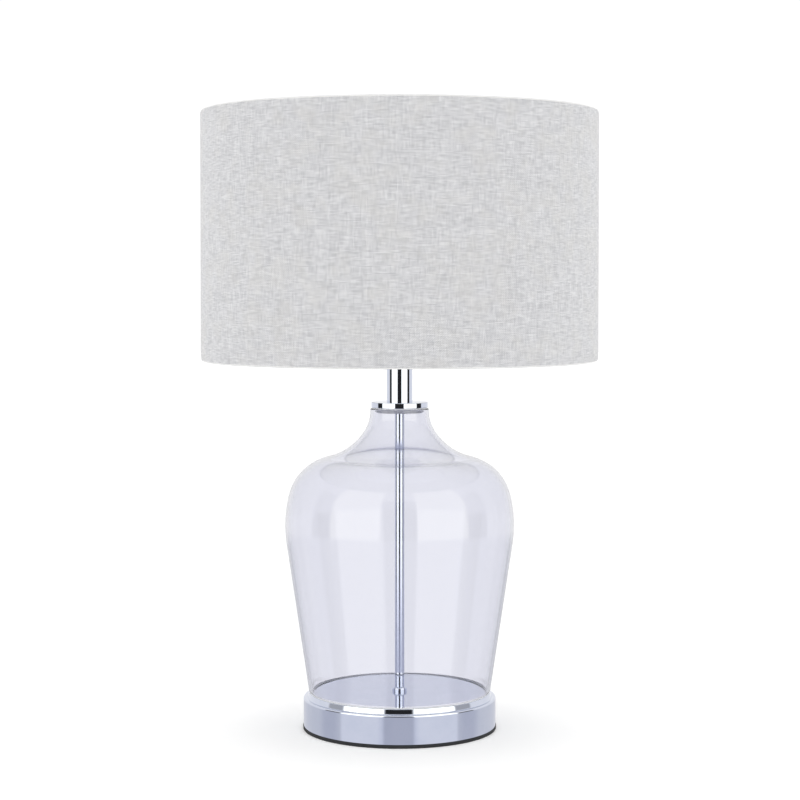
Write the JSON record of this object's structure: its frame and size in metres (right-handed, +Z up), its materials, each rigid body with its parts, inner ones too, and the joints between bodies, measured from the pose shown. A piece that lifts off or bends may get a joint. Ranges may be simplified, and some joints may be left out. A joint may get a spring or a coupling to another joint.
{
  "type": "table lamp with shade",
  "caption": "Table lamp with a bell-shaped clear glass body on a round chromed base, a central rod, and a straight linen drum shade.",
  "frame": {"origin": "centre of the underside of the base, on the surface the lamp stands on", "axes": "+Z up along the lamp's axis, -Y towards the viewer in front, +Y towards the cord inlet at the back, +X to the right"},
  "size_m": [0.3499, 0.35, 0.5462],
  "materials": {
    "foam_pad": "matt foam",
    "chrome": "polished",
    "iron": "as cast",
    "gland_rubber": "matt",
    "zinc": "zinc plated",
    "brass": "plain",
    "clear_glass": "clear, polished",
    "clear_ring": "translucent",
    "nylon": "satin",
    "holder_white": "satin white",
    "porcelain": "unglazed",
    "linen": "linen weave",
    "shade_lining": "matt white",
    "white_wire": "gloss white",
    "opal": "opal",
    "bulb_white": "satin white",
    "nickel": "plated",
    "bulb_black": "gloss",
    "solder": "solder",
    "terminal_white": "satin",
    "lead_brown": "flexible",
    "lead_blue": "flexible",
    "lead_green": "flexible"
  },
  "bodies": {
    "lamp": {"base_pad": "foam_pad", "base_shell": "chrome", "base_weight": "iron", "cord_gland": "gland_rubber", "bottom_washer": "zinc", "earth_tag": "brass", "bottom_nut": "zinc", "seat_nut": "chrome", "foot_gasket": "clear_ring", "glass_body": "clear_glass", "rod": "chrome", "neck_plug": "nylon", "neck_gasket": "clear_ring", "collar": "chrome", "stem_washer": "zinc", "stem_nut": "zinc", "stem_tube": "chrome", "holder_cap": "holder_white", "holder_body": "holder_white", "contact_block": "porcelain", "screw_shell": "brass", "centre_contact": "brass", "terminal_screws": "zinc", "switch_block": "terminal_white", "shade_ring": "holder_white", "terminal_block": "terminal_white", "block_screws": "zinc", "live_lead": "lead_brown", "neutral_lead": "lead_blue", "earth_lead": "lead_green"},
    "switch": {"switch_bar": "holder_white"},
    "shade": {"shade_cover": "linen", "shade_liner": "shade_lining", "shade_top_ring": "white_wire", "shade_frame": "white_wire"},
    "bulb_foot": {"bulb_contact": "solder"},
    "bulb": {"bulb_insulator": "bulb_black", "bulb_cap": "nickel", "bulb_housing": "bulb_white", "bulb_globe": "opal"}
  },
  "joints": [
    {"name": "switch_push", "type": "slide", "parent": "lamp", "child": "switch", "axis": [1, 0, 0], "range_m": [0, 0.0045]},
    {"name": "shade_turn", "type": "hinge", "parent": "lamp", "child": "shade", "pos_m": [0, 0, 0.344], "axis": [0, 0, 1], "continuous": true},
    {"name": "bulb_rise", "type": "slide", "parent": "lamp", "child": "bulb_foot", "axis": [0, 0, 1], "range_m": [0, 0.01452]},
    {"name": "bulb_turn", "type": "hinge", "parent": "bulb_foot", "child": "bulb", "pos_m": [0, 0, 0.37], "axis": [0, 0, 1], "range_deg": [0, 1440]}
  ],
  "couplings": [
    {"joint": "bulb_rise", "follows": "bulb_turn", "m_per_rad": 0.00057757}
  ]
}
